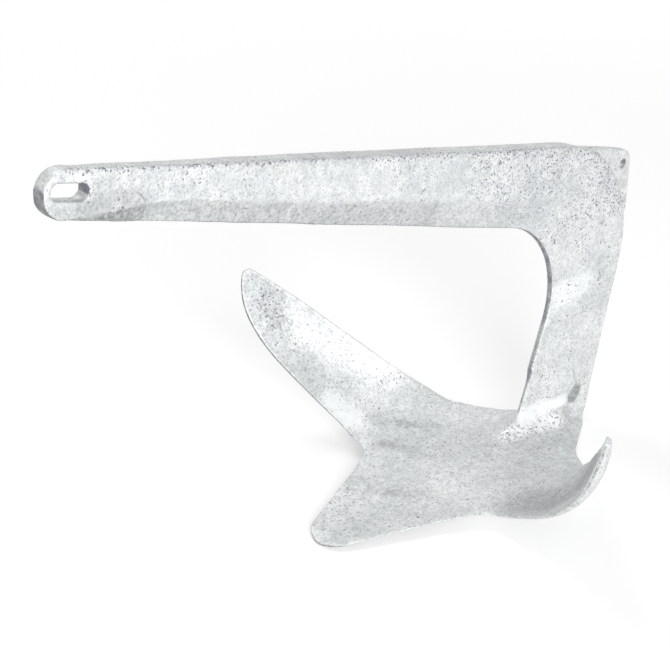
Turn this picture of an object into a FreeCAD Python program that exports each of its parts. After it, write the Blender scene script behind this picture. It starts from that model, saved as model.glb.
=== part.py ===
import FreeCAD, Part
import math
import os

import Sketcher
from FreeCAD import Placement, Rotation, Vector

# A three-clawed anchor cast in one piece: a tapered arm with a slotted eye, a rounded knee with a
# thin lug, a leg, and a fluke with a central toe and two lateral claws.
# It stands on its fluke. +X points from the heel to the eye, +Z up, and Y = 0 is its mirror plane.

DIMENSIONS = {
    # arm and eye
    "eye_x": 527.6,
    "eye_z": 324.3,
    "eye_radius": 15.5,
    "eye_thickness": 12.0,
    "eye_step": 0.3,
    "arm_start_x": 143.8,
    "arm_start_z": 228.6,
    "arm_depth": 62.0,
    "arm_back_width": 19.0,
    "arm_width": 24.0,
    "arm_belly_width": 5.6,
    "slot_length": 25.0,
    "slot_height": 10.0,
    "slot_corner": 4.2,
    "slot_setback": 2.4,
    "slot_raise": 1.5,
    # knee, lug and leg
    "knee_inner_radius": 70.0,
    "knee_outer_radius": 92.0,
    "leg_heel_x": 44.4,
    "leg_toe_x": 129.0,
    "leg_end_height": 1.0,
    "leg_rear_lean": 12.8,
    "leg_front_lean": 18.8,
    "leg_back_width": 18.6,
    "leg_width": 15.0,
    "leg_front_width": 5.6,
    "lug_thickness": 9.0,
    "lug_rear_x": 3.5,
    "lug_slope": 15.2,
    "lug_corner": 12.0,
    "lug_foot_height": 178.0,
    "lug_sink": 1.0,
    "trip_hole_diameter": 6.0,
    "trip_hole_inset": 10.0,
    # root fillet between leg and fluke
    "root_height": 18.0,
    "root_inset": 1.5,
    "root_sink": 9.0,
    "root_front_reach": 24.0,
    "root_width": 58.0,
    # middle of the fluke
    "crown_x": 70.0,
    "crown_height": 18.5,
    "valley_height": 12.5,
    "heel_bevel": 46.0,
    "heel_overhang": 4.0,
    "heel_corner_x": 92.5,
    "heel_corner_y": 40.0,
    "bend_x": 125.0,
    "bend_y": 74.0,
    "bend_height": 17.5,
    "bend_bevel": 11.0,
    "bend_lift": 4.0,
    "notch_x": 228.0,
    "notch_height": 12.0,
    "notch_y": 65.0,
    "notch_thickness": 2.2,
    "toe_x": 333.0,
    "toe_radius": 22.0,
    "toe_neck_x": 256.0,
    "toe_neck_y": 47.2,
    "toe_thickness": 2.6,
    # lateral claws
    "tip_x": 247.0,
    "tip_y": 182.5,
    "tip_height": 137.0,
    "rear_edge_bow": 6.0,
    "front_edge_run": 62.0,
    "front_edge_rise": 57.0,
    "front_edge_hook": 24.0,
    "claw_camber": 3.5,
    "claw_thickness": 9.0,
    "claw_tip_thickness": 5.0,
    "claw_root_reach": 4.0,
    "claw_root_sink": 1.2,
    "claw_root_inset": 0.7,
    "claw_step": 0.25,
}

# Shares of the arm's length, from the eye, at which its sections stand and reach their full widths.
ARM_SHARES = (0.0, 0.09, 0.17, 0.32, 0.55, 0.8, 1.0)
BACK_FULL = 0.45
KINK_FULL = 0.5
KINK_SWELL = 0.8
BELLY_FULL = 0.2
KINK_SETTLED = 0.17

# Shares of the shank's depth, from its back, at which its side faces are widest.
KINK_AT_EYE = 0.93
KINK_ON_ARM = 0.59
KINK_ON_LEG = 0.55

# Sections round the knee, how fast it narrows from the arm to the leg, and sections down the leg.
KNEE_STEPS = 8
KNEE_FADE = 1.6
LEG_SHARES = (0.75, 0.5, 0.25, 0.0)

doc = FreeCAD.newDocument("claw_anchor")
sheet = doc.addObject("Spreadsheet::Sheet", "Sizes")
for row, (alias, value) in enumerate(DIMENSIONS.items(), start=1):
    sheet.set("A%d" % row, alias)
    sheet.set("B%d" % row, str(value))
    sheet.setAlias("B%d" % row, alias)
doc.recompute()


def size(name):
    return float(sheet.get(name))


def mix(first, last, share):
    return first + (last - first) * share


def origin_plane(body, role):
    for feature in body.Origin.OriginFeatures:
        if feature.Role == role:
            return feature
    raise ValueError(role)


def add_body(name):
    body = doc.addObject("PartDesign::Body", name)
    body.Label = name
    return body


def add_sketch(body, name, placement):
    sketch = body.newObject("Sketcher::SketchObject", name)
    sketch.AttachmentSupport = [(origin_plane(body, "XY_Plane"), "")]
    sketch.MapMode = "FlatFace"
    sketch.AttachmentOffset = placement
    return sketch


def frame(origin, x_axis, y_axis):
    return Placement(origin, Rotation(x_axis, y_axis, x_axis.cross(y_axis), "ZXY"))


def close_outline(sketch, points):
    """Draws the closed outline through the points, and joins its corners."""
    count = len(points)
    for i in range(count):
        sketch.addGeometry(Part.LineSegment(points[i], points[(i + 1) % count]))
    for i in range(count):
        sketch.addConstraint(Sketcher.Constraint("Coincident", i, 2, (i + 1) % count, 1))


def drive(sketch, name, constraint, expression):
    index = sketch.addConstraint(constraint)
    sketch.renameConstraint(index, name)
    sketch.setExpression("Constraints." + name, expression)


def share_between(first, last, share):
    """An expression for half the width that lies between two widths."""
    return "(%s + (%s - (%s)) * %.4f) / 2" % (first, last, first, share)


# Lines and arcs of the shank's side view, in the mirror plane.


def direction(degrees):
    return Vector(math.cos(math.radians(degrees)), 0, math.sin(math.radians(degrees)))


def crossing(point_a, way_a, point_b, way_b):
    """Where two lines of the mirror plane cross."""
    gap = point_b - point_a
    turn = way_a.x * way_b.z - way_a.z * way_b.x
    return point_a + way_a * ((gap.x * way_b.z - gap.z * way_b.x) / turn)


class Bend:
    """An arc of a given radius that rounds the corner of two lines."""

    def __init__(self, corner, way_a, way_b, radius):
        half_angle = math.acos(way_a.dot(way_b)) / 2
        reach = radius / math.tan(half_angle)
        middle = (way_a + way_b).normalize()
        self.centre = corner + middle * (radius / math.sin(half_angle))
        self.start = corner + way_a * reach
        self.end = corner + way_b * reach
        self.radius = radius
        self.sweep = math.pi - 2 * half_angle

    def at(self, share):
        first = (self.start - self.centre) / self.radius
        last = (self.end - self.centre) / self.radius
        rest = math.sin(self.sweep)
        head = math.sin((1 - share) * self.sweep) / rest
        tail = math.sin(share * self.sweep) / rest
        return self.centre + (first * head + last * tail) * self.radius


def along(points_and_lengths, distance):
    """Walks a path of (function, length) stretches."""
    for stretch, length in points_and_lengths:
        if distance <= length or stretch is points_and_lengths[-1][0]:
            return stretch(min(distance / length, 1.0))
        distance -= length


def straight(start, end):
    return (lambda share: start + (end - start) * share, (end - start).Length)


eye = Vector(size("eye_x"), 0, size("eye_z"))
arm_start = Vector(size("arm_start_x"), 0, size("arm_start_z"))
arm_way = (eye - arm_start).normalize()
arm_up = Vector(-arm_way.z, 0, arm_way.x)
arm_top = arm_start + arm_up * (size("arm_depth") / 2)
arm_belly = arm_start - arm_up * (size("arm_depth") / 2)
eye_top = eye + arm_up * (size("eye_radius") - size("eye_step"))
eye_belly = eye - arm_up * (size("eye_radius") - size("eye_step"))
top_way = (eye_top - arm_top).normalize()
belly_way = (eye_belly - arm_belly).normalize()
leg_rear_way = direction(size("leg_rear_lean") - 90)
leg_front_way = direction(size("leg_front_lean") - 90)
leg_rear_foot = Vector(size("leg_heel_x"), 0, 0)
leg_front_foot = Vector(size("leg_toe_x"), 0, 0)

outer_corner = crossing(arm_top, top_way, leg_rear_foot, leg_rear_way)
inner_corner = crossing(arm_belly, belly_way, leg_front_foot, leg_front_way)
outer_bend = Bend(outer_corner, top_way, leg_rear_way, size("knee_outer_radius"))
inner_bend = Bend(inner_corner, belly_way, leg_front_way, size("knee_inner_radius"))


def leg_rear_at(height):
    return leg_rear_foot - leg_rear_way * (height / -leg_rear_way.z)


def leg_front_at(height):
    return leg_front_foot - leg_front_way * (height / -leg_front_way.z)


# The shank: a loft through six-sided sections, from the eye round the knee to the fluke's underside.


def shank_section(body, name, outer, inner, halves, kink_share):
    """A section from the back edge to the inner edge, widest at the kink between them."""
    depth_way = (inner - outer).normalize()
    depth = (inner - outer).Length
    sketch = add_sketch(body, name, frame(outer, depth_way, Vector(0, 1, 0)))
    kink = depth * kink_share
    back_half = size("arm_back_width") / 2
    kink_half = size("arm_width") / 2
    belly_half = size("arm_belly_width") / 2
    points = [
        Vector(0, back_half, 0),
        Vector(kink, kink_half, 0),
        Vector(depth, belly_half, 0),
        Vector(depth, -belly_half, 0),
        Vector(kink, -kink_half, 0),
        Vector(0, -back_half, 0),
    ]
    close_outline(sketch, points)
    for upper, lower in ((0, 5), (1, 4), (2, 3)):
        sketch.addConstraint(Sketcher.Constraint("Symmetric", upper, 1, lower, 1, -1))
    sketch.addConstraint(Sketcher.Constraint("PointOnObject", 0, 1, -2))
    sketch.addConstraint(Sketcher.Constraint("DistanceX", -1, 1, 1, 1, kink))
    sketch.addConstraint(Sketcher.Constraint("DistanceX", -1, 1, 2, 1, depth))
    for line, label, expression in zip((0, 1, 2), ("back", "kink", "belly"), halves):
        distance = Sketcher.Constraint("DistanceY", -1, 1, line, 1, points[line].y)
        drive(sketch, label, distance, expression)
    return sketch


def arm_halves(share):
    """Half widths of the arm's section, from the eye (0) to the knee (1)."""
    start = "Sizes.eye_thickness - 2 * Sizes.eye_step"
    back = share_between(start, "Sizes.arm_back_width", min(share / BACK_FULL, 1))
    kink = share_between(start, "Sizes.arm_width", min(share / KINK_FULL, 1) ** KINK_SWELL)
    belly = share_between(start, "Sizes.arm_belly_width", min(share / BELLY_FULL, 1))
    return back, kink, belly


def leg_halves(share):
    """Half widths round the knee: the arm's last section (0) to the leg's first (1)."""
    back = share_between("Sizes.arm_back_width", "Sizes.leg_back_width", share)
    kink = share_between("Sizes.arm_width", "Sizes.leg_width", min(share * KNEE_FADE, 1))
    belly = share_between("Sizes.arm_belly_width", "Sizes.leg_front_width", share)
    return back, kink, belly


def build_shank():
    body = add_body("shank")
    sections = []

    def add(outer, inner, halves, kink_share):
        name = "shank_section_%02d" % (len(sections) + 1)
        sections.append(shank_section(body, name, outer, inner, halves, kink_share))

    for share in ARM_SHARES:
        outer = eye_top + (arm_top - eye_top) * share
        inner = eye_belly + (arm_belly - eye_belly) * share
        kink_share = mix(KINK_AT_EYE, KINK_ON_ARM, min(share / KINK_SETTLED, 1))
        add(outer, inner, arm_halves(share), kink_share)

    leg_top = inner_bend.end.z
    outer_path = [
        straight(arm_top, outer_bend.start),
        (outer_bend.at, outer_bend.radius * outer_bend.sweep),
        straight(outer_bend.end, leg_rear_at(leg_top)),
    ]
    inner_path = [
        straight(arm_belly, inner_bend.start),
        (inner_bend.at, inner_bend.radius * inner_bend.sweep),
    ]
    outer_length = sum(length for _, length in outer_path)
    inner_length = sum(length for _, length in inner_path)
    for step in range(1, KNEE_STEPS + 1):
        share = step / KNEE_STEPS
        outer = along(outer_path, outer_length * share)
        inner = along(inner_path, inner_length * share)
        add(outer, inner, leg_halves(share), mix(KINK_ON_ARM, KINK_ON_LEG, share))

    for share in LEG_SHARES:
        height = mix(size("leg_end_height"), inner_bend.end.z, share)
        add(leg_rear_at(height), leg_front_at(height), leg_halves(1), KINK_ON_LEG)

    doc.recompute()
    loft = body.newObject("PartDesign::AdditiveLoft", "shank_loft")
    loft.Profile = sections[0]
    loft.Sections = sections[1:]
    loft.Ruled = False
    return body


# The root: oval sections that swell from within the leg down to a foot sunk in the fluke.

ROOT_SHARES = (0.0, 0.2, 0.4, 0.55, 0.7, 0.8, 0.9, 1.0)
ROOT_FLARE = 2.8


def root_section(body, name, height, front_swell, half_width):
    rear = leg_rear_at(height).x + half_width
    front = leg_front_at(height).x + front_swell
    middle = Vector((rear + front) / 2, 0, height)
    sketch = add_sketch(body, name, frame(middle, Vector(1, 0, 0), Vector(0, 1, 0)))
    half_length = (front - rear) / 2
    ellipse = Part.Ellipse(Vector(half_length, 0, 0), Vector(0, half_width, 0), Vector(0, 0, 0))
    sketch.addGeometry(ellipse)
    return sketch


def build_root():
    body = add_body("root")
    top = size("crown_height") + size("root_height")
    inset = size("root_inset")
    sections = []
    for number, share in enumerate(ROOT_SHARES, start=1):
        swell = share**ROOT_FLARE
        height = mix(top, size("root_sink"), share)
        half_width = mix(size("leg_width") / 2 - inset, size("root_width") / 2, swell)
        front_swell = mix(-2 * inset, size("root_front_reach"), swell)
        name = "root_section_%d" % number
        sections.append(root_section(body, name, height, front_swell, half_width))
    doc.recompute()
    loft = body.newObject("PartDesign::AdditiveLoft", "root_loft")
    loft.Profile = sections[0]
    loft.Sections = sections[1:]
    loft.Ruled = True
    return body


# The eye's round end, and the slot for the shackle.


def build_eye():
    body = add_body("eye")
    sketch = add_sketch(body, "eye_outline", frame(eye, arm_way, arm_up))
    sketch.addGeometry(Part.Circle(Vector(0, 0, 0), Vector(0, 0, 1), size("eye_radius")))
    sketch.addConstraint(Sketcher.Constraint("Coincident", 0, 3, -1, 1))
    drive(sketch, "radius", Sketcher.Constraint("Radius", 0, size("eye_radius")), "Sizes.eye_radius")
    pad = body.newObject("PartDesign::Pad", "eye_pad")
    pad.Profile = sketch
    pad.SideType = "Symmetric"
    pad.setExpression("Length", "Sizes.eye_thickness")
    return body


def build_slot():
    """A block as wide as the slot, with its four corners rounded."""
    body = add_body("shackle_slot")
    centre = eye - arm_way * size("slot_setback") + arm_up * size("slot_raise")
    sketch = add_sketch(body, "slot_outline", frame(centre, arm_way, arm_up))
    half_length = size("slot_length") / 2
    half_height = size("slot_height") / 2
    points = [
        Vector(half_length, half_height, 0),
        Vector(-half_length, half_height, 0),
        Vector(-half_length, -half_height, 0),
        Vector(half_length, -half_height, 0),
    ]
    close_outline(sketch, points)
    for line, kind in enumerate(("Horizontal", "Vertical", "Horizontal", "Vertical")):
        sketch.addConstraint(Sketcher.Constraint(kind, line))
    sketch.addConstraint(Sketcher.Constraint("Symmetric", 0, 1, 2, 1, -1, 1))
    length = Sketcher.Constraint("Distance", 0, 2 * half_length)
    drive(sketch, "slot_length", length, "Sizes.slot_length")
    height = Sketcher.Constraint("Distance", 1, 2 * half_height)
    drive(sketch, "slot_height", height, "Sizes.slot_height")
    pad = body.newObject("PartDesign::Pad", "slot_pad")
    pad.Profile = sketch
    pad.SideType = "Symmetric"
    pad.setExpression("Length", "Sizes.eye_thickness * 2")
    doc.recompute()
    ends = [
        "Edge%d" % number
        for number, edge in enumerate(pad.Shape.Edges, start=1)
        if abs(edge.BoundBox.YLength - edge.Length) < 0.01
    ]
    rounding = body.newObject("PartDesign::Fillet", "slot_corners")
    rounding.Base = (pad, ends)
    rounding.setExpression("Radius", "Sizes.slot_corner")
    return body


# The lug in the outer corner of the knee, and the trip-line hole through it.

# How far its outline reaches in toward the knee's centre, as a share left of the way out.
LUG_INSIDE = 0.35

def lug_corner_point():
    slope = direction(size("lug_slope"))
    start = outer_bend.start
    return start + slope * ((size("lug_rear_x") - start.x) / slope.x)


def build_lug():
    body = add_body("lug")
    corner = lug_corner_point()
    sketch = add_sketch(body, "lug_outline", frame(corner, Vector(1, 0, 0), Vector(0, 0, 1)))
    # Its rear edge runs down to the line of the leg's back, and both its ends are sunk in the shank.
    sink = size("lug_sink")
    top_end = outer_bend.start - arm_up * sink
    inside = mix(outer_bend.centre, corner, LUG_INSIDE)
    low_end = outer_bend.end + Vector(-leg_rear_way.z, 0, leg_rear_way.x) * sink
    foot = leg_rear_at(size("lug_foot_height"))
    outline = (corner, top_end, inside, low_end, foot)
    points = [Vector(point.x - corner.x, point.z - corner.z, 0) for point in outline]
    close_outline(sketch, points)
    pad = body.newObject("PartDesign::Pad", "lug_pad")
    pad.Profile = sketch
    pad.SideType = "Symmetric"
    pad.setExpression("Length", "Sizes.lug_thickness")
    doc.recompute()
    corners = [
        "Edge%d" % number
        for number, edge in enumerate(pad.Shape.Edges, start=1)
        if edge.BoundBox.XMax < corner.x + 0.01 and edge.BoundBox.ZMin > corner.z - 0.01
    ]
    rounding = body.newObject("PartDesign::Fillet", "lug_corner_rounding")
    rounding.Base = (pad, corners)
    rounding.setExpression("Radius", "Sizes.lug_corner")
    return body


def build_trip_hole():
    hole = doc.addObject("Part::Cylinder", "trip_hole")
    hole.setExpression("Radius", "Sizes.trip_hole_diameter / 2")
    hole.setExpression("Height", "Sizes.lug_thickness * 3")
    inset = size("trip_hole_inset")
    middle = lug_corner_point() + Vector(inset, 0, -inset)
    start = middle + Vector(0, size("lug_thickness") * 1.5, 0)
    hole.Placement = Placement(start, Rotation(Vector(0, 0, 1), Vector(0, -1, 0)))
    hole.Label = "trip_hole"
    return hole


# The middle of the fluke: straight strips between four-sided sections, from one bend line to the
# other, trimmed in front to the toe's outline.

# How far the sections' fronts bulge past the chord of the toe's side, in toe radii, and how far
# they run on past its outline. The outline itself runs on past the notches.
TOE_FULLNESS = 5.4
TOE_OVERRUN = 8.0
NOTCH_OVERRUN = Vector(-1.8, 2.4, 0)

# Sections stand at these shares of the way out to the bend lines, and the valley at one of them.
MIDDLE_SHARES = [side / 10 for side in range(-10, 11)]
VALLEY_SHARE = 0.6
CREST_BOW = 0.25


def bend_line(share):
    """A line across the fluke's middle: the mirror plane at 0, the bend lines at 1 and -1."""
    rear = Vector(size("bend_x"), size("bend_y") * share, 0)
    front = Vector(size("notch_x"), size("notch_y") * share, 0)
    return rear, (front - rear).normalize()


def toe_side_x(side):
    """Roughly where the toe's outline stands at a share of the way out to the bend line."""
    chord_x = mix(size("toe_x"), size("notch_x"), side)
    return chord_x + TOE_FULLNESS * size("toe_radius") * side * (1 - side) ** 2


def middle_section(share):
    """Corner points of the section, along the bend line and up: top, front, underside, rear."""
    side = abs(share)
    crown = size("crown_height")
    valley = size("valley_height")
    bend = size("bend_height")
    rear_x = mix(size("crown_x"), size("bend_x"), side + CREST_BOW * side * (1 - side))
    # A parabola through the crown, the valley and the bend line.
    dip = (mix(crown, bend, VALLEY_SHARE) - valley) / (VALLEY_SHARE * (1 - VALLEY_SHARE))
    rear_height = mix(crown, bend, side) - dip * side * (1 - side)
    # The heel's lower edge is straight out to its corner and on to the bend line, and it reaches a
    # little behind the leg, which ends just inside it.
    corner = size("heel_corner_y") / size("bend_y")
    if side < corner:
        heel_x = mix(size("crown_x") - size("heel_bevel"), size("heel_corner_x"), side / corner)
    else:
        bend_foot_x = size("bend_x") - size("bend_bevel")
        heel_x = mix(size("heel_corner_x"), bend_foot_x, (side - corner) / (1 - corner))
    heel_x = max(heel_x, size("leg_heel_x") - size("heel_overhang"))
    # In front the top and the underside run out to a thin rim, and go on a little past it.
    edge_x = toe_side_x(side)
    edge_height = mix(size("toe_thickness"), size("notch_height"), side)
    edge_lift = edge_height - mix(size("toe_thickness"), size("notch_thickness"), side)
    rear_lift = size("bend_lift") * side**4
    front_x = edge_x + TOE_OVERRUN
    front_height = mix(rear_height, edge_height, (front_x - rear_x) / (edge_x - rear_x))
    front_lift = mix(rear_lift, edge_lift, (front_x - heel_x) / (edge_x - heel_x))
    return [
        (rear_x, rear_height),
        (front_x, front_height),
        (front_x, front_lift),
        (heel_x, rear_lift),
    ]


def hollow_side(start, end, way):
    """The middle of the arc between two points that runs in a given way at its end."""
    chord = end - start
    turn = math.atan2(way.y, way.x) - math.atan2(-chord.y, -chord.x)
    drop = chord.Length / 2 * math.tan(turn / 2)
    return (start + end) / 2 + Vector(chord.y, -chord.x, 0).normalize() * drop


def other_side(point):
    return Vector(point.x, -point.y, point.z)


def build_middle():
    body = add_body("fluke_middle")
    sections = []
    for number, share in enumerate(MIDDLE_SHARES, start=1):
        rear, way = bend_line(share)
        name = "middle_section_%d" % number
        sketch = add_sketch(body, name, frame(rear, way, Vector(0, 0, 1)))
        corners = middle_section(share)
        points = [Vector((x - rear.x) / way.x, height, 0) for x, height in corners]
        close_outline(sketch, points)
        sections.append(sketch)
    doc.recompute()
    loft = body.newObject("PartDesign::AdditiveLoft", "middle_loft")
    loft.Profile = sections[0]
    loft.Sections = sections[1:]
    loft.Ruled = True

    # The toe's outline: hollow from the notches to its neck, then straight and tangent to its round
    # end.
    radius = size("toe_radius")
    centre = Vector(size("toe_x") - radius, 0, 0)
    notch = Vector(size("notch_x"), size("notch_y"), 0)
    neck = Vector(size("toe_neck_x"), size("toe_neck_y"), 0)
    gap = (neck - centre).Length
    slant = math.atan2(neck.y, neck.x - centre.x) - math.acos(radius / gap)
    touch = centre + Vector(math.cos(slant), math.sin(slant), 0) * radius
    notch = notch + NOTCH_OVERRUN
    hollow = hollow_side(notch, neck, (neck - touch).normalize())
    outer_x = size("toe_x") + 3 * TOE_OVERRUN
    outer_y = size("notch_y") + 4 * TOE_OVERRUN
    sketch = add_sketch(body, "toe_outline", Placement())
    ring = [
        Vector(notch.x, -notch.y, 0),
        Vector(notch.x, -outer_y, 0),
        Vector(outer_x, -outer_y, 0),
        Vector(outer_x, outer_y, 0),
        Vector(notch.x, outer_y, 0),
        notch,
    ]
    for start, end in zip(ring, ring[1:]):
        sketch.addGeometry(Part.LineSegment(start, end))
    sketch.addGeometry(Part.Arc(notch, hollow, neck))
    sketch.addGeometry(Part.LineSegment(neck, touch))
    sketch.addGeometry(Part.ArcOfCircle(Part.Circle(centre, Vector(0, 0, 1), radius), -slant, slant))
    sketch.addGeometry(Part.LineSegment(other_side(touch), other_side(neck)))
    sketch.addGeometry(Part.Arc(other_side(neck), other_side(hollow), other_side(notch)))
    drive(sketch, "toe_radius", Sketcher.Constraint("Radius", 7, radius), "Sizes.toe_radius")
    pocket = body.newObject("PartDesign::Pocket", "toe_trim")
    pocket.Profile = sketch
    pocket.Type = "ThroughAll"
    pocket.SideType = "Two sides"
    pocket.Type2 = "ThroughAll"
    return body


# A lateral claw: a loft along two edge curves that meet at the tip, through curved sections that
# thin out toward the tip.

# Shares of the claw's length at which its sections stand. By the first it has turned square to its
# edges, by the second it has its own thickness, and by the last of the three its front rim has.
CLAW_SHARES = (0.1, 0.22, 0.36, 0.5, 0.64, 0.76, 0.86, 0.93, 0.97)
CLAW_TURNED = 0.1
CLAW_SETTLED = 0.22
CLAW_RIM_SETTLED = 0.6

# Thickness of its edges as shares of the middle's, at the root and at the tip, how far its sides
# bulge, the way its front edge sets off from the notch, and the width, in halves of the middle of
# the fluke, at which it has its full camber.
ROOT_EDGE = 0.7
TIP_EDGE = 0.8
SIDE_BULGE = 0.18
FRONT_EDGE_WAY = Vector(-0.25, 0.93, 0.29)
FULL_CAMBER = 0.6
LEAST_CAMBER = 0.05
LEAST_BULGE = 0.01


class Curve:
    """A cubic curve from its four control points."""

    def __init__(self, *points):
        self.points = points

    def at(self, share):
        rest = 1 - share
        weights = (rest**3, 3 * rest**2 * share, 3 * rest * share**2, share**3)
        total = Vector(0, 0, 0)
        for point, weight in zip(self.points, weights):
            total = total + point * weight
        return total

    def way(self, share):
        return (self.at(share + 0.01) - self.at(share - 0.01)).normalize()


def claw_edges():
    bend = Vector(size("bend_x"), size("bend_y"), size("bend_height"))
    notch = Vector(size("notch_x"), size("notch_y"), size("notch_height"))
    tip = Vector(size("tip_x"), size("tip_y"), size("tip_height"))
    third = (tip - bend) / 3
    bow = size("rear_edge_bow")
    rear_first = bend + third + Vector(0, 0, -bow)
    rear_last = tip - third + Vector(0, bow, bow)
    front_first = notch + FRONT_EDGE_WAY * size("front_edge_run")
    front_last = tip + Vector(size("front_edge_hook"), 0, -size("front_edge_rise"))
    rear = Curve(bend, rear_first, rear_last, tip)
    front = Curve(notch, front_first, front_last, tip)
    return rear, front


def claw_section(rear_curve, front_curve, share, shift=Vector(0, 0, 0), inset=0.0):
    """A section across the claw, moved by a shift and drawn in on all sides by an inset."""
    rear = rear_curve.at(share) + shift
    front = front_curve.at(share) + shift
    chord = (front - rear).normalize()
    turned = min(share / CLAW_TURNED, 1)
    across = (rear_curve.way(share) + front_curve.way(share)).normalize()
    upright = chord.cross(across).normalize() * turned + Vector(0, 0, 1) * (1 - turned)
    inward = (upright - chord * upright.dot(chord)).normalize()

    # Plate thickness at the middle and the two edges, the latter from the fluke's middle section.
    settled = min(share / CLAW_SETTLED, 1)
    middle = mix(size("claw_thickness"), size("claw_tip_thickness"), share)
    edge = mix(ROOT_EDGE * size("claw_thickness"), TIP_EDGE * size("claw_tip_thickness"), share)
    rim_settled = min(share / CLAW_RIM_SETTLED, 1)
    front_depth = mix(size("notch_thickness"), edge, rim_settled) - 2 * inset
    rear_depth = mix(size("bend_height") - size("bend_lift"), edge, settled) - 2 * inset
    depth = mix((front_depth + rear_depth) / 2, middle, settled)
    bevel = mix(size("bend_bevel"), 0.0, settled)
    camber = size("claw_camber") * settled * (front - rear).Length / (FULL_CAMBER * size("notch_y"))
    camber = max(camber, LEAST_CAMBER)
    bulge = mix(LEAST_BULGE, SIDE_BULGE, settled)

    rear = rear + (chord - inward) * inset
    front = front - (chord + inward) * inset
    centre = (rear + front) / 2
    top = centre - inward * camber
    rear_low = rear - inward * rear_depth - chord * bevel
    front_low = front - inward * front_depth
    low = (rear_low + front_low) / 2 - inward * (depth + camber - (rear_depth + front_depth) / 2)
    front_side = (front + front_low) / 2 + chord * (bulge * front_depth)
    rear_side = (rear + rear_low) / 2 - chord * (bulge * rear_depth)
    arcs = [
        Part.Arc(rear, top, front),
        Part.Arc(front, front_side, front_low),
        Part.Arc(front_low, low, rear_low),
        Part.Arc(rear_low, rear_side, rear),
    ]
    return Part.Wire([arc.toShape() for arc in arcs])


def build_claw():
    claw = doc.addObject("Part::Feature", "left_claw")
    rear_curve, front_curve = claw_edges()
    # It starts within the fluke's middle, and leaves it a small step inside its end face.
    within = Vector(0, -size("claw_root_reach"), -size("claw_root_sink"))
    wires = [
        claw_section(rear_curve, front_curve, 0.0, within, size("claw_root_inset")),
        claw_section(rear_curve, front_curve, 0.0, inset=size("claw_step")),
    ]
    wires += [claw_section(rear_curve, front_curve, share) for share in CLAW_SHARES]
    claw.Shape = Part.makeLoft(wires, True, False)
    claw.Label = "left_claw"
    twin = doc.addObject("Part::Mirroring", "right_claw")
    twin.Source = claw
    twin.Normal = Vector(0, 1, 0)
    twin.Base = Vector(0, 0, 0)
    twin.Label = "right_claw"
    return claw, twin


shank = build_shank()
eye_end = build_eye()
lug = build_lug()
root = build_root()
middle = build_middle()
left_claw, right_claw = build_claw()
slot = build_slot()
trip_hole = build_trip_hole()
doc.recompute()

blank = doc.addObject("Part::MultiFuse", "blank")
blank.Shapes = [shank, eye_end, lug, root, middle, left_claw, right_claw]
blank.Refine = True
openings = doc.addObject("Part::MultiFuse", "openings")
openings.Shapes = [slot, trip_hole]
anchor = doc.addObject("Part::Cut", "claw_anchor")
anchor.Base = blank
anchor.Tool = openings
anchor.Label = "claw_anchor"
# The origin lies under the middle of the length from the lug's rear to the eye's end.
anchor.setExpression(
    "Placement.Base.x", "-(Sizes.lug_rear_x + Sizes.eye_x + Sizes.eye_radius) / 2"
)
doc.recompute()

faults = []
for item in doc.Objects:
    if "Invalid" in item.State or "Error" in item.State:
        faults.append(item.Name)
for piece in (shank, eye_end, lug, root, middle, left_claw, right_claw, slot, trip_hole, anchor):
    if piece.Shape.isNull() or not piece.Shape.isValid():
        faults.append(piece.Label)
if faults or len(anchor.Shape.Solids) != 1:
    raise RuntimeError("faulty: " + ", ".join(faults))

os.makedirs("parts", exist_ok=True)
anchor.Shape.exportStep("parts/claw_anchor.step")
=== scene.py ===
import math

import bpy
import numpy as np
from mathutils import Matrix, Vector


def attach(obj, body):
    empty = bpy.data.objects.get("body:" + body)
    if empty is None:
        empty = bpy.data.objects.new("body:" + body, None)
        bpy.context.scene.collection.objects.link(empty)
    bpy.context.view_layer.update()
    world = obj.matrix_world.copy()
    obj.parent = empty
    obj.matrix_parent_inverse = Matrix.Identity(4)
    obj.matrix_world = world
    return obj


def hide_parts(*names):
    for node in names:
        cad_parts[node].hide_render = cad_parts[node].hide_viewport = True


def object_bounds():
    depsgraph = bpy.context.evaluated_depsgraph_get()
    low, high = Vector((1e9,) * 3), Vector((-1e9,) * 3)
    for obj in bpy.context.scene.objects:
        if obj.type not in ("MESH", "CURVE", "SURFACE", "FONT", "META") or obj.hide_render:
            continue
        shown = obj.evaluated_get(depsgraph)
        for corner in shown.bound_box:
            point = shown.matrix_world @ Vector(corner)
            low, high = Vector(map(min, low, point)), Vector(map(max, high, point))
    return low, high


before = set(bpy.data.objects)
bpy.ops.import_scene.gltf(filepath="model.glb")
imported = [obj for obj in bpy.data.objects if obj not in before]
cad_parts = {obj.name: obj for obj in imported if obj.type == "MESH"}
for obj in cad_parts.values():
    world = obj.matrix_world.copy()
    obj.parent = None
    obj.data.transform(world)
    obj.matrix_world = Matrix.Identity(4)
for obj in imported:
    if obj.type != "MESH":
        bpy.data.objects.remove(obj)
cad_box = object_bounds()

# A claw anchor cast in one piece and dipped in zinc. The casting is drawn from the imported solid:
# its edges are worn round, its corners run into soft fillets, and its skin has the swell of a
# casting.

MM = 0.001


# Places on the anchor, in metres. The far claw is the one at -Y, the near claw the one at +Y.

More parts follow.
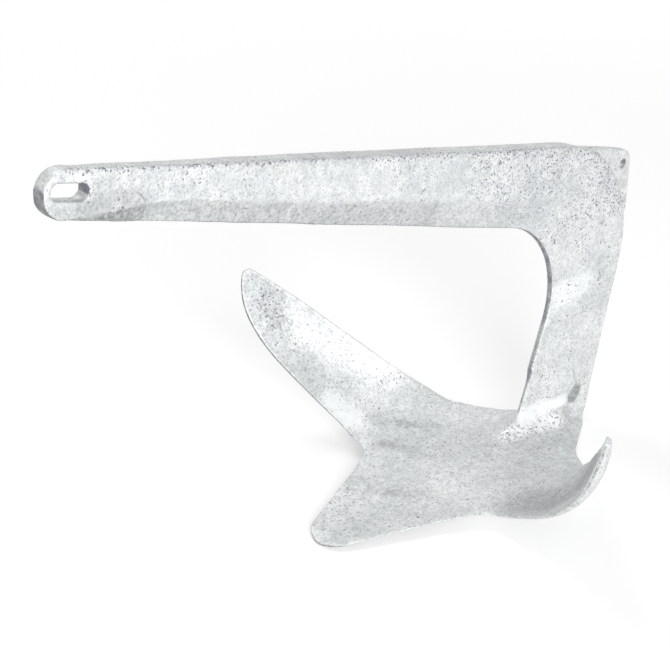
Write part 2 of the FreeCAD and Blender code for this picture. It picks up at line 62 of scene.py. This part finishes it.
BEND_REAR = (-0.1483, 0.074, 0.0175)
BEND_FRONT = (-0.0453, 0.065, 0.012)
ROOT_REAR = (-0.205, 0.022, 0.014)
ROOT_SIDE = (-0.165, 0.026, 0.013)
ROOT_FRONT = (-0.135, 0.0, 0.015)
ROOT_TOP_REAR = (-0.215, 0.009, 0.034)
ROOT_TOP_FRONT = (-0.155, 0.004, 0.034)
LEG_FOOT_FRONT = (-0.1625, 0.0, 0.052)
ARM_KINK_EYE = (0.1324, 0.0105, 0.2901)
ARM_KINK_KNEE = (-0.1281, 0.0120, 0.2232)
SCAR_MIDDLE = (0.2135, 0.006, 0.3045)
SCAR_RADIUS = 0.0118
LUG_HOLE = (-0.2598, 0.0045, 0.21595)
ARM_CREASE_EYE = (0.2506, 0.0057, 0.3390)
ARM_CREASE_KNEE = (-0.1370, 0.0095, 0.2587)
KNEE_CREASE_END = (-0.2120, 0.0095, 0.2405)
LUG_CREASE_END = (-0.2560, 0.0095, 0.1840)
FAR_PATCH_HIGH = (-0.0383, -0.1709, 0.1066)
FAR_PATCH_LOW = (-0.0428, -0.1631, 0.0918)


# The casting's mesh: how fine its first skin is, how many rounds of smoothing it gets, all over and
# at its soft corners, and the share of its facets that is kept.

SKIN_STEP = 1.0 * MM
WORN_ROUNDS = 6
FILLET_ROUNDS = 90
FACETS_KEPT = 0.3

# The corners that run into soft fillets: the line of each, and how far from it the softening ends.
# They are given for the half at +Y, and the other half mirrors them.

SOFT_CORNERS = (
    (BEND_REAR, BEND_FRONT, 0.016),
    (ROOT_REAR, ROOT_SIDE, 0.016),
    (ROOT_SIDE, ROOT_FRONT, 0.018),
    (ROOT_TOP_REAR, ROOT_TOP_FRONT, 0.014),
    (LEG_FOOT_FRONT, ROOT_FRONT, 0.014),
    (ARM_KINK_EYE, ARM_KINK_KNEE, 0.007),
)

# The swell of the casting's skin, in three sizes: how wide the bumps are in metres, their seed, and
# how high they are in millimetres. Then the scar's height, and how deep the skin lies below the
# solid's, in millimetres too.

SWELLS = ((0.045, 1, 0.30), (0.016, 2, 0.18), (0.006, 3, 0.08))
SCAR_HEIGHT = 0.35
SKIN_DEPTH = 0.3


# Numbers on the casting's vertices.


def smooth_step(low, high, values):
    share = np.clip((values - low) / (high - low), 0, 1)
    return share * share * (3 - 2 * share)


def lattice_value(cells, seed):
    """A steady random number from 0 to 1 for each whole-number cell."""
    mixed = cells[:, 0] * 374761393 + cells[:, 1] * 668265263 + cells[:, 2] * 2147483647
    mixed = mixed + seed * 1274126177
    mixed = (mixed ^ (mixed >> 13)) * 1274126177
    mixed = mixed ^ (mixed >> 16)
    return (mixed & 0xFFFFFF) / float(0xFFFFFF)


def swell(points, size, seed):
    """Smooth noise from -1 to 1 whose bumps are about as wide as size."""
    scaled = points / size
    base = np.floor(scaled).astype(np.int64)
    part = scaled - base
    part = part * part * (3 - 2 * part)
    total = np.zeros(len(points))
    for corner in np.ndindex(2, 2, 2):
        share = np.abs(1 - np.array(corner) - part)
        weight = share[:, 0] * share[:, 1] * share[:, 2]
        total += weight * lattice_value(base + np.array(corner), seed)
    return total * 2 - 1


def near_line(points, start, end, reach):
    """1 on the line between two points, falling to 0 at the given distance from it."""
    start = np.array(start)
    way = np.array(end) - start
    share = np.clip((points - start) @ way / (way @ way), 0, 1)
    gap = np.linalg.norm(points - start - share[:, None] * way, axis=1)
    return 1 - smooth_step(0.35 * reach, reach, gap)


def soften(points, edges, weights, rounds):
    """Draws each vertex toward the middle of its neighbours, by its weight, some rounds."""
    first, last = edges[:, 0], edges[:, 1]
    count = len(points)
    neighbours = np.bincount(first, minlength=count) + np.bincount(last, minlength=count)
    pull = (0.5 * weights)[:, None]
    for _ in range(rounds):
        middle = np.empty_like(points)
        for axis in range(3):
            value = points[:, axis]
            total = np.bincount(first, value[last], minlength=count)
            total += np.bincount(last, value[first], minlength=count)
            middle[:, axis] = total / neighbours
        points = points + (middle - points) * pull
    return points


def fillet_weights(points):
    """How strongly each place of the casting is rounded off. Its underside stays as it is."""
    folded = points.copy()
    folded[:, 1] = np.abs(folded[:, 1])
    weight = np.zeros(len(points))
    for start, end, reach in SOFT_CORNERS:
        weight = np.maximum(weight, near_line(folded, start, end, reach))
    above_ground = smooth_step(0.004, 0.009, folded[:, 2])
    return weight * above_ground


def skin_relief(points):
    """How far the skin stands out: the casting's swell, and the scar by the eye."""
    relief = sum(swell(points, size, seed) * height for size, seed, height in SWELLS)
    scar_gap = np.linalg.norm(points - np.array(SCAR_MIDDLE), axis=1)
    scar = 1 - smooth_step(SCAR_RADIUS - 0.4 * MM, SCAR_RADIUS + 0.8 * MM, scar_gap)
    near_side = smooth_step(0.002, 0.004, points[:, 1])
    relief += SCAR_HEIGHT * scar * near_side
    return (relief - SKIN_DEPTH) * MM


# The casting.


def read_points(mesh, layer="co"):
    values = np.empty(len(mesh.vertices) * 3)
    mesh.vertices.foreach_get(layer, values)
    return values.reshape(-1, 3)


def write_points(mesh, points):
    mesh.vertices.foreach_set("co", points.ravel())
    mesh.update()


def read_edges(mesh):
    edges = np.empty(len(mesh.edges) * 2, np.int64)
    mesh.edges.foreach_get("vertices", edges)
    return edges.reshape(-1, 2)


def apply_modifiers(thing):
    bpy.context.view_layer.update()
    graph = bpy.context.evaluated_depsgraph_get()
    finished = bpy.data.meshes.new_from_object(thing.evaluated_get(graph))
    finished.name = thing.name
    thing.modifiers.clear()
    thing.data = finished


def make_casting():
    """The visible casting: the solid with an even skin, soft corners and a slight swell."""
    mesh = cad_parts["claw_anchor"].data.copy()
    mesh.name = "anchor_casting"
    casting = bpy.data.objects.new("anchor_casting", mesh)
    bpy.context.scene.collection.objects.link(casting)

    remesh = casting.modifiers.new("even_skin", "REMESH")
    remesh.mode = "VOXEL"
    remesh.voxel_size = SKIN_STEP
    apply_modifiers(casting)

    mesh = casting.data
    edges = read_edges(mesh)
    points = read_points(mesh)
    points = soften(points, edges, np.ones(len(points)), WORN_ROUNDS)
    points = soften(points, edges, fillet_weights(points), FILLET_ROUNDS)
    write_points(mesh, points)
    points = points + read_points(mesh, "normal") * skin_relief(points)[:, None]
    write_points(mesh, points)

    thin = casting.modifiers.new("fewer_facets", "DECIMATE")
    thin.ratio = FACETS_KEPT
    apply_modifiers(casting)
    low, high = (np.array(corner) for corner in cad_box)
    write_points(casting.data, np.clip(read_points(casting.data), low, high))
    for polygon in casting.data.polygons:
        polygon.use_smooth = True
    return casting


# Shader maths: a socket that takes part in plain sums.


class Signal:
    def __init__(self, finish, socket):
        self.finish = finish
        self.socket = socket

    def sum(self, operation, *terms, clamp=False):
        settings = {"operation": operation, "use_clamp": clamp}
        return self.finish.add("ShaderNodeMath", settings, list(terms))

    def __add__(self, other):
        return self.sum("ADD", self, other)

    __radd__ = __add__

    def __mul__(self, other):
        return self.sum("MULTIPLY", self, other)

    __rmul__ = __mul__

    def __sub__(self, other):
        return self.sum("SUBTRACT", self, other)

    def __rsub__(self, other):
        return self.sum("SUBTRACT", other, self)

    def at_least(self, other):
        return self.sum("MAXIMUM", self, other)

    def clamped(self):
        return self.sum("ADD", self, 0.0, clamp=True)

    def size(self):
        return self.sum("ABSOLUTE", self)

    def ramp(self, low, high):
        """0 below low, 1 above high and a smooth rise between them."""
        settings = {"interpolation_type": "SMOOTHSTEP"}
        return self.finish.add("ShaderNodeMapRange", settings, [self, low, high, 0.0, 1.0])


# The Mix node has sockets for several kinds of value. These are the ones that it has for colours.

MIX_SHARE, MIX_FIRST, MIX_LAST = 0, 6, 7
MIX_COLOUR = 2


class Finish:
    """The nodes of a material or of the world."""

    def __init__(self, block):
        self.block = block
        block.use_nodes = True
        self.tree = block.node_tree
        self.tree.nodes.clear()

    def add(self, kind, settings, sockets, output=0):
        """Adds a node: its settings, then its sockets in order or by name or number."""
        node = self.tree.nodes.new(kind)
        for key, value in settings.items():
            setattr(node, key, value)
        pairs = sockets.items() if isinstance(sockets, dict) else enumerate(sockets)
        for place, value in pairs:
            if isinstance(value, Signal):
                self.tree.links.new(value.socket, node.inputs[place])
            else:
                node.inputs[place].default_value = value
        return Signal(self, node.outputs[output]) if node.outputs else None

    def white_rays(self):
        """1 for the rays that show the background: straight ones, and those in gloss and glass."""
        names = ("Is Camera Ray", "Is Glossy Ray", "Is Transmission Ray")
        straight, gloss, glass = [self.add("ShaderNodeLightPath", {}, {}, name) for name in names]
        return (straight + gloss + glass).clamped()

    def tint(self, share, first, last, mode="MIX"):
        """A colour between two others, or one laid over the other."""
        settings = {"data_type": "RGBA", "blend_type": mode}
        sockets = {MIX_SHARE: share, MIX_FIRST: first, MIX_LAST: last}
        return self.add("ShaderNodeMix", settings, sockets, MIX_COLOUR)

    def vector(self, operation, *terms, output="Vector"):
        return self.add("ShaderNodeVectorMath", {"operation": operation}, list(terms), output)

    def along(self, vector, way):
        """How far a vector goes along a way."""
        return self.vector("DOT_PRODUCT", vector, way, output="Value")

    def distance(self, first, last):
        """How far apart two places are, in metres."""
        return self.vector("DISTANCE", first, last, output="Value")

    def noise(self, where, scale, detail, roughness, distortion=0.0):
        sockets = {
            "Vector": where,
            "Scale": scale,
            "Detail": detail,
            "Roughness": roughness,
            "Distortion": distortion,
        }
        return self.add("ShaderNodeTexNoise", {"noise_dimensions": "3D"}, sockets)

    def gap(self, where, start, end):
        """How far a place is from the line between two others, in metres."""
        way = Vector(end) - Vector(start)
        moved = self.vector("SUBTRACT", where, start)
        share = self.along(moved, way / way.length_squared).clamped()
        foot = self.add("ShaderNodeVectorMath", {"operation": "SCALE"}, {0: way, "Scale": share})
        return self.distance(moved, foot)


def colour(red, green, blue):
    return (red, green, blue, 1.0)


WHITE = colour(1.0, 1.0, 1.0)

# The zinc's own two greys, the darker colours that lie on it, and the greys of its painted shade.

CLOUD_DARK = colour(0.665, 0.688, 0.69)
CLOUD_PALE = colour(0.86, 0.874, 0.87)
PIT = colour(0.16, 0.17, 0.21)
DUST = colour(0.31, 0.32, 0.38)
TOE_LINE_GREY = colour(0.30, 0.32, 0.33)
STAIN_GREY = colour(0.18, 0.20, 0.21)
STREAK_GREY = colour(0.25, 0.28, 0.30)
# The grey of painted shade on faces turned toward +X and down.
INWARD_SHADE_GREY = colour(0.17, 0.18, 0.20)
RIM_GREY = colour(0.22, 0.23, 0.25)
SCAR_GREY = colour(0.20, 0.21, 0.24)
# The grey of painted shade in the lug's hole.
HOLE_SHADE_GREY = colour(0.14, 0.14, 0.17)

# Zinc that has weathered is only part metallic.

METAL_SHARE = 0.18

# Broad marks on the zinc: the line each runs along, how far it reaches, and how strong it is. A
# mark below zero is darker than the zinc round it, one above zero is lighter.

# Some of these marks are painted highlights and painted shade, each noted where it stands.
BROAD_MARKS = (
    # The leg, the knee, the lug and the eye.
    # A painted highlight on the leg below the knee.
    ((-0.1892, 0.0036, 0.1199), (-0.218, 0.0075, 0.1262), 0.014, 0.29),
    ((-0.1881, 0.0054, 0.052), (-0.206, 0.0078, 0.050), 0.014, 0.07),
    ((-0.1871, 0.0041, 0.0860), (-0.2200, 0.0088, 0.0830), 0.012, 0.05),
    ((-0.1889, 0.0096, 0.214), (-0.2322, 0.0093, 0.200), 0.020, 0.02),
    ((-0.2422, 0.0094, 0.2184), (-0.2550, 0.0050, 0.2000), 0.020, -0.05),
    ((0.2348, 0.0068, 0.3083), (0.2162, 0.0070, 0.3058), 0.018, -0.26),
    ((0.2600, 0.0060, 0.3130), (0.2450, 0.0060, 0.3110), 0.008, -0.10),
    # The far claw.
    (FAR_PATCH_HIGH, FAR_PATCH_LOW, 0.011, -0.29),
    ((-0.0458, -0.1579, 0.0819), (-0.055, -0.1367, 0.055), 0.011, -0.07),
    ((-0.0600, -0.1740, 0.1250), (-0.0560, -0.1700, 0.1150), 0.018, -0.06),
    # A painted highlight on the far claw's base, by the notch.
    ((-0.0555, -0.1074, 0.0297), (-0.0605, -0.0935, 0.0225), 0.015, 0.50),
    ((-0.0850, -0.0980, 0.0290), (-0.1050, -0.0900, 0.0290), 0.014, 0.08),
    # The fluke's middle.
    ((-0.0755, -0.0847, 0.0188), (-0.1001, -0.0635, 0.0137), 0.007, -0.10),
    ((-0.0920, -0.0705, 0.0152), (-0.1170, -0.0490, 0.0125), 0.005, -0.16),
    ((-0.0622, -0.0614, 0.0117), (-0.0765, -0.0386, 0.0105), 0.006, -0.20),
    ((-0.0475, -0.0611, 0.0112), (-0.0800, -0.0530, 0.0112), 0.007, -0.08),
    ((-0.0143, -0.0195, 0.0072), (-0.0420, 0.0213, 0.0085), 0.006, -0.15),
    ((-0.1050, -0.0750, 0.0160), (-0.1350, -0.0500, 0.0140), 0.016, 0.07),
    ((-0.1400, 0.0200, 0.0140), (-0.1600, 0.0300, 0.0125), 0.009, -0.12),
    # The arm's side and its top.
    ((0.0500, 0.0090, 0.2900), (-0.0500, 0.0100, 0.2650), 0.030, 0.05),
    ((-0.0579, 0.0085, 0.2318), (-0.1012, 0.0078, 0.2177), 0.018, 0.12),
    # Painted shade along the arm's top, which faces up.
    ((0.0726, 0.0000, 0.3050), (-0.0516, 0.0000, 0.2800), 0.010, -0.14),
    # The toe, the far claw's tip, the toe again, the near claw's hollow and the rear of the root.
    ((-0.0143, -0.0369, 0.0088), (-0.0431, 0.0022, 0.0088), 0.012, -0.07),
    ((-0.0380, -0.1800, 0.1330), (-0.0330, -0.1760, 0.1180), 0.012, -0.08),
    ((0.0300, -0.0100, 0.0050), (-0.0150, 0.0150, 0.0070), 0.020, -0.04),
    # Painted shade in the near claw's hollow.
    ((-0.0765, 0.0865, 0.0194), (-0.0817, 0.131, 0.065), 0.030, -0.31),
    ((-0.2090, 0.0140, 0.0140), (-0.1990, 0.0125, 0.0185), 0.007, -0.16),
)

# Other marks: the line each runs along, and the distances from it at which it begins to fade and is
# gone.

# The two marks that follow are a painted highlight along the leg's foot.
FILLET_HIGHLIGHT_FRONT = ((-0.1610, 0.0036, 0.0262), (-0.1770, 0.0060, 0.0280), 0.0030, 0.0115)
FILLET_HIGHLIGHT_REAR = ((-0.1700, 0.0050, 0.0280), (-0.2020, 0.0086, 0.0275), 0.0010, 0.0070)
# A rough band with its own grain, lightened by a painted highlight.
PEBBLED_HIGHLIT_BAND = ((-0.1400, 0.0030, 0.0150), (-0.1880, 0.0150, 0.0160), 0.004, 0.0085)
FAR_PATCH = (FAR_PATCH_HIGH, FAR_PATCH_LOW, 0.005, 0.016)
KNEE = ((-0.105, 0.0095, 0.245), (-0.225, 0.0095, 0.190), 0.012, 0.045)
ARM_CREASE = (ARM_CREASE_EYE, ARM_CREASE_KNEE, 0.001, 0.005)
KNEE_CREASE = (ARM_CREASE_KNEE, KNEE_CREASE_END, 0.002, 0.010)
LUG_CREASE = (KNEE_CREASE_END, LUG_CREASE_END, 0.004, 0.016)
TOE_LINE = ((0.0131, -0.0279, 0.0064), (-0.0246, 0.0099, 0.0081), 0.0003, 0.0010)
STAIN = ((-0.2135, 0.0084, 0.0262), (-0.2175, 0.0086, 0.0308), 0.0042, 0.0076)
STREAKS = ((-0.2121, 0.0081, 0.0520), (-0.2170, 0.0084, 0.0360), 0.0004, 0.0022)


class ZincCoat(Finish):
    """Hot-dipped zinc: clouded light grey with dark pits, a stain and streaks; painted highlights
    at the leg's foot, on the leg and on the far claw; painted shade in hollows and on faces turned
    from the light.
    """

    def __init__(self):
        super().__init__(bpy.data.materials.new("hot_dip_zinc"))
        # Where a spot of the skin is, and which way the skin faces there.
        self.where = self.add("ShaderNodeTexCoord", {}, {}, "Object")
        self.facing = self.add("ShaderNodeTexCoord", {}, {}, "Normal")
        self.x_place = self.along(self.where, (1.0, 0.0, 0.0))
        self.y_place = self.along(self.where, (0.0, 1.0, 0.0))
        self.z_place = self.along(self.where, (0.0, 0.0, 1.0))

        self.clouds = self.noise(self.where, 15.0, detail=4.0, roughness=0.55, distortion=0.4)
        self.patches = self.noise(self.where, 48.0, detail=5.0, roughness=0.6, distortion=0.2)
        self.mottle = self.noise(self.where, 170.0, detail=4.0, roughness=0.65)
        self.grain = self.noise(self.where, 470.0, detail=2.0, roughness=0.6)
        self.pits = self.noise(self.where, 560.0, detail=1.0, roughness=0.5, distortion=0.5)
        # How far the edge of a mark wanders, in metres, and two kinds of blotches inside a mark.
        self.wander = (self.mottle - 0.5) * 0.006
        self.blots = self.mottle.ramp(0.40, 0.56)
        self.mould = (0.6 * self.grain + 0.4 * self.mottle).ramp(0.42, 0.54)

        front = self.near(FILLET_HIGHLIGHT_FRONT, 2.0 * self.wander)
        self.fillet_highlight = front.at_least(self.near(FILLET_HIGHLIGHT_REAR, 2.0 * self.wander))
        self.pebbled_and_highlit = self.near(PEBBLED_HIGHLIT_BAND, self.wander * 0.5)
        self.far_patch = self.near(FAR_PATCH)
        self.knee = self.near(KNEE)
        self.underside_shade = self.arm_underside()
        self.worn = self.worn_creases()
        self.specks = self.dark_pits()

    def near(self, mark, waver=None):
        """1 on a mark's line, fading to 0 where the mark ends. The waver makes its edge uneven."""
        start, end, fades, gone = mark
        gap = self.gap(self.where, start, end)
        if waver is not None:
            gap = gap + waver
        return 1.0 - gap.ramp(fades, gone)

    def arm_underside(self):
        """The arm's lower side, where it faces down: painted shade that darkens it."""
        upward = self.along(self.facing, (0.0, 0.0, 1.0)) + 6.0 * self.wander
        downward = 1.0 - upward.ramp(-0.32, -0.08)
        return downward * self.x_place.ramp(-0.17, -0.08) * self.z_place.ramp(0.15, 0.18)

    def worn_creases(self):
        """Where pits and dust crowd: along the arm's crease, over the knee and at the lug."""
        crease = self.near(ARM_CREASE).at_least(self.near(KNEE_CREASE) * 0.9)
        return crease.at_least(self.near(LUG_CREASE) * 0.6)

    def dark_pits(self):
        """Dark pits, thickest where the zinc is cloudy. The painted highlight at the leg's foot has
        none.
        """
        crowded = self.patches.ramp(0.45, 0.62)
        thick = (0.3 + 0.7 * crowded + self.worn + 0.5 * self.knee).clamped()
        pits = (self.pits + 0.07 * self.worn + 0.02 * self.knee).ramp(0.63, 0.69)
        return pits * thick * (1.0 - self.fillet_highlight)

    def dust(self):
        """Fine dark grains, thickest on the arm's upper side and in the far claw's patch."""
        upper = (1.0 - self.underside_shade) * self.z_place.ramp(0.15, 0.20)
        grains = self.grain + 0.05 * self.knee + 0.05 * self.worn + 0.03 * self.far_patch
        spread = 0.25 + 0.75 * self.patches.ramp(0.47, 0.60) + 0.6 * upper + self.far_patch
        return grains.ramp(0.57, 0.67) * spread.clamped()

    def inward_shade(self):
        """Painted shade on faces turned toward +X and down: inside the bend, down the knee and the
        leg, and on the far claw's rim.
        """
        inward = self.along(self.facing, (0.80, 0.0, -0.60))
        return inward.ramp(0.42, 0.62) * (1.0 - self.y_place.ramp(0.03, 0.06))

    def near_rim(self):
        """The near claw's rough front rim."""
        forward = self.along(self.facing, (0.80, 0.60, 0.0))
        return forward.ramp(0.84, 0.96) * self.y_place.ramp(0.100, 0.130)

    def scar(self):
        """The curved scar by the eye: the half of a ring toward the knee, on the near side."""
        from_ring = self.distance(self.where, SCAR_MIDDLE) - SCAR_RADIUS + self.wander * 0.25
        ring = 1.0 - from_ring.size().ramp(0.0002, 0.0009)
        knee_half = 1.0 - self.x_place.ramp(0.2060, 0.2090)
        return ring * knee_half * self.y_place.ramp(0.001, 0.003)

    def lug_hole_shade(self):
        """Painted shade inside the lug's hole and on the skin close round it."""
        return 1.0 - self.distance(self.where, LUG_HOLE).ramp(0.0030, 0.0052)

    def shade(self):
        """How light the zinc is, as a share of its cloudy colour, with painted highlights and
        painted shade among its marks.
        """
        shade = 1.02 + (self.grain - 0.5) * 1.15 + (self.mottle - 0.5) * 0.42
        for start, end, reach, strength in BROAD_MARKS:
            mark = (start, end, 0.15 * reach, 1.4 * reach)
            shade = shade + self.near(mark, self.wander) * strength
        shade = shade + self.far_patch * (self.grain - 0.5) * 1.5
        # Painted highlights: along the leg's foot, and over the rough band below it, whose grain is
        # its own.
        shade = shade + self.fillet_highlight * 0.38 + self.pebbled_and_highlit * (0.22 + (self.grain - 0.5) * 3.2)
        # The arm's underside is darkened here: painted shade.
        shade = shade + self.knee * 0.05 - self.underside_shade * 0.22
        return shade.at_least(0.05)

    def base_colour(self):
        """The cloudy grey, lighter and darker in its marks, with each dark colour laid over it."""
        cloudy = (0.45 * self.clouds + 0.3 * self.patches + 0.25 * self.mottle).ramp(0.37, 0.63)
        base = self.tint(cloudy, CLOUD_DARK, CLOUD_PALE)
        base = self.tint(1.0, base, self.shade(), "MULTIPLY")
        layers = (
            (self.specks * 0.90, PIT),
            (self.dust() * 0.66, DUST),
            (self.near(TOE_LINE, self.wander * 0.1) * 0.3, TOE_LINE_GREY),
            (self.near(STAIN, self.wander) * (0.18 + 0.62 * self.mould), STAIN_GREY),
            (self.near(STREAKS, self.wander * 0.3) * self.blots * 0.45, STREAK_GREY),
            # Painted shade on faces turned toward +X and down, in blotches.
            (self.inward_shade() * (0.55 + 0.35 * self.blots), INWARD_SHADE_GREY),
            (self.near_rim() * (0.10 + 0.75 * self.mould), RIM_GREY),
            (self.scar() * (0.2 + 0.5 * self.blots), SCAR_GREY),
            # Painted shade in and round the lug's hole.
            (self.lug_hole_shade() * 0.7, HOLE_SHADE_GREY),
        )
        for share, dark in layers:
            base = self.tint(share, base, dark)
        return base

    def bumps(self):
        """The grain, the mottle and the pits as small heights on the skin."""
        height = 0.6 * self.grain + 0.9 * self.mottle - 0.8 * self.specks + 0.5 * self.patches
        height = height + self.pebbled_and_highlit * self.grain
        sockets = {"Strength": 0.5, "Distance": 0.0006, "Height": height}
        return self.add("ShaderNodeBump", {}, sockets)

    def material(self):
        sockets = {
            "Base Color": self.base_colour(),
            "Roughness": 0.40 + 0.16 * self.mottle + 0.14 * self.specks,
            "Metallic": METAL_SHARE,
            "Normal": self.bumps(),
        }
        shader = self.add("ShaderNodeBsdfPrincipled", {}, sockets)
        self.add("ShaderNodeOutputMaterial", {}, [shader])
        return self.block


# The floor: its size in metres, the grey that catches the shadow, the glow that lifts it to white,
# and the distances from the anchor at which it begins to turn into plain white and is plain white.

FLOOR_RADIUS = 6.0
FLOOR_SIDES = 96
FLOOR_GREY = colour(0.74, 0.74, 0.74)
FLOOR_GLOW = 0.49
SHADOW_FADES, SHADOW_GONE = 0.6, 1.5


def floor_finish():
    """A pale floor that the camera sees white, with the anchor's soft shadow on it."""
    pale = Finish(bpy.data.materials.new("pale_floor"))
    matt = pale.add("ShaderNodeBsdfDiffuse", {}, {"Color": FLOOR_GREY})
    glow = pale.add("ShaderNodeEmission", {}, {"Color": WHITE, "Strength": FLOOR_GLOW})
    lit = pale.add("ShaderNodeAddShader", {}, [matt, glow])
    # Farther out it runs into the white behind it.
    where = pale.add("ShaderNodeTexCoord", {}, {}, "Object")
    far = pale.vector("LENGTH", where, output="Value").ramp(SHADOW_FADES, SHADOW_GONE)
    white = pale.add("ShaderNodeEmission", {}, {"Color": WHITE, "Strength": 1.0})
    faded = pale.add("ShaderNodeMixShader", {}, [far, lit, white])
    shown = pale.add("ShaderNodeMixShader", {}, [pale.white_rays(), matt, faded])
    pale.add("ShaderNodeOutputMaterial", {}, [shown])
    return pale.block


def make_floor():
    """A round sheet under the anchor."""
    turns = [2 * math.pi * i / FLOOR_SIDES for i in range(FLOOR_SIDES)]
    points = [(math.cos(turn) * FLOOR_RADIUS, math.sin(turn) * FLOOR_RADIUS, 0) for turn in turns]
    mesh = bpy.data.meshes.new("floor")
    mesh.from_pydata(points, [], [tuple(range(FLOOR_SIDES))])
    floor = bpy.data.objects.new("floor", mesh)
    bpy.context.scene.collection.objects.link(floor)
    floor.data.materials.append(floor_finish())


# The camera stands where the photograph was taken from.

CAMERA_PLACE = Vector((0.71154, 0.72316, 0.65282))
CAMERA_RIGHT = Vector((-0.7361, 0.67686, 0.004224))
CAMERA_UP = Vector((-0.297677, -0.329323, 0.896066))
FOCAL_PIXELS = 1600.0
FRAME_PIXELS = 670.0


def make_camera():
    data = bpy.data.cameras.new("camera")
    data.sensor_width = 36.0
    data.lens = FOCAL_PIXELS / FRAME_PIXELS * data.sensor_width
    data.clip_start = 0.05
    data.clip_end = 50.0
    camera = bpy.data.objects.new("camera", data)
    bpy.context.scene.collection.objects.link(camera)
    back = CAMERA_RIGHT.cross(CAMERA_UP)
    turn = Matrix((CAMERA_RIGHT, CAMERA_UP, back)).transposed()
    camera.matrix_world = Matrix.Translation(CAMERA_PLACE) @ turn.to_4x4()
    bpy.context.scene.camera = camera


def make_lamp(name, place, aim, width, power):
    """A round lamp at a place, turned to the spot that it aims at."""
    data = bpy.data.lights.new(name, "AREA")
    data.shape = "DISK"
    data.size = width
    data.energy = power
    lamp = bpy.data.objects.new(name, data)
    bpy.context.scene.collection.objects.link(lamp)
    lamp.location = place
    lamp.rotation_mode = "QUATERNION"
    lamp.rotation_quaternion = (Vector(aim) - Vector(place)).to_track_quat("-Z", "Y")


# The soft light that the world casts on the anchor.

SOFT_WHITE = colour(0.985, 0.99, 1.0)
SOFT_LIGHT = 0.32


def make_world():
    """White as a background and in gloss and glass, and a softer light on everything else."""
    world = bpy.data.worlds.new("studio")
    bpy.context.scene.world = world
    studio = Finish(world)
    soft = studio.add("ShaderNodeBackground", {}, {"Color": SOFT_WHITE, "Strength": SOFT_LIGHT})
    white = studio.add("ShaderNodeBackground", {}, {"Color": WHITE, "Strength": 1.0})
    mixed = studio.add("ShaderNodeMixShader", {}, [studio.white_rays(), soft, white])
    studio.add("ShaderNodeOutputWorld", {}, [mixed])


casting = make_casting()
casting.data.materials.clear()
casting.data.materials.append(ZincCoat().material())
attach(casting, "root")
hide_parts("claw_anchor")

make_floor()
make_camera()
make_lamp("side_softbox", place=(1.0, 1.9, 0.85), aim=(0, 0, 0.15), width=1.2, power=39.0)
make_lamp("back_softbox", place=(-0.2, -1.3, 2.0), aim=(0, 0, 0.1), width=1.1, power=14.0)
make_world()
bpy.context.scene.view_settings.view_transform = "Standard"
